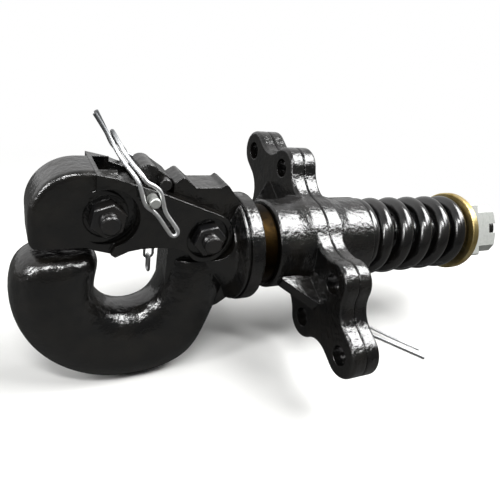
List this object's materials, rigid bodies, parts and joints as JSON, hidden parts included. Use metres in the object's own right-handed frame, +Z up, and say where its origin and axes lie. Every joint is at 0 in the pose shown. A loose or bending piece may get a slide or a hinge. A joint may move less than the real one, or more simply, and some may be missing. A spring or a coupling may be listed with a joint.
{
  "type": "pintle hook",
  "caption": "Swivelling pintle hook with a hinged upper jaw and latch lever, its shaft carried in a two-ear bolt-on bracket and cushioned by a coil spring.",
  "frame": {"origin": "on the shaft's axis, in the plane where the two bracket castings meet", "axes": "+X along the shaft from the hook towards its nut, +Z up with the hook standing upright, -Y towards the side that the picture shows"},
  "size_m": [0.506, 0.2468, 0.2318],
  "materials": {
    "bracket_enamel": "gloss black enamel over cast iron",
    "hook_enamel": "gloss black enamel over forged steel",
    "spring_enamel": "gloss black enamel over spring wire",
    "bush_bronze": "turned bronze",
    "thrust_bronze": "turned bronze",
    "yellow_zinc": "yellow passivated zinc",
    "zinc": "bright zinc plate",
    "zinc_wire": "bright zinc plate on round wire",
    "dark_fastener": "black enamel over plated steel"
  },
  "bodies": {
    "bracket": {"front_bracket": "bracket_enamel", "rear_bracket": "bracket_enamel", "front_bush": "bush_bronze", "rear_bush": "bush_bronze", "thrust_washer": "thrust_bronze", "buffer_spring": "spring_enamel"},
    "carrier": {"spring_retainer": "yellow_zinc"},
    "hook": {"hook_body": "hook_enamel", "nut_washer": "zinc", "castle_nut": "zinc"},
    "jaw": {"upper_jaw": "hook_enamel", "front_pivot_bolt": "dark_fastener", "front_pivot_nut": "dark_fastener", "rear_pivot_bolt": "dark_fastener", "rear_pivot_nut": "dark_fastener"},
    "lever": {"lock_lever": "hook_enamel", "keeper_pin": "dark_fastener"},
    "clip": {"lock_pin": "zinc", "safety_clip": "zinc_wire", "tether_chain": "zinc_wire"}
  },
  "joints": [
    {"name": "cushion", "type": "slide", "parent": "bracket", "child": "carrier", "axis": [-1, 0, 0], "range_m": [0, 0.012], "stiffness_N_per_m": 150000, "springref_m": -0.004, "deforming": ["buffer_spring"]},
    {"name": "swivel", "type": "hinge", "parent": "carrier", "child": "hook", "pos_m": [0, 0, 0], "axis": [1, 0, 0], "continuous": true},
    {"name": "jaw_hinge", "type": "hinge", "parent": "hook", "child": "jaw", "pos_m": [-0.111, 0, 0.022], "axis": [0, 1, 0], "range_deg": [0, 70]},
    {"name": "lever_hinge", "type": "hinge", "parent": "jaw", "child": "lever", "pos_m": [-0.19, 0, 0.042], "axis": [0, -1, 0], "range_deg": [0, 15], "stiffness_Nm_per_rad": 0.8, "springref_deg": -34.38},
    {"name": "clip_turn", "type": "hinge", "parent": "jaw", "child": "clip", "pos_m": [-0.1595, 0, 0.058], "axis": [0, 1, 0], "range_deg": [-10, 10]}
  ]
}
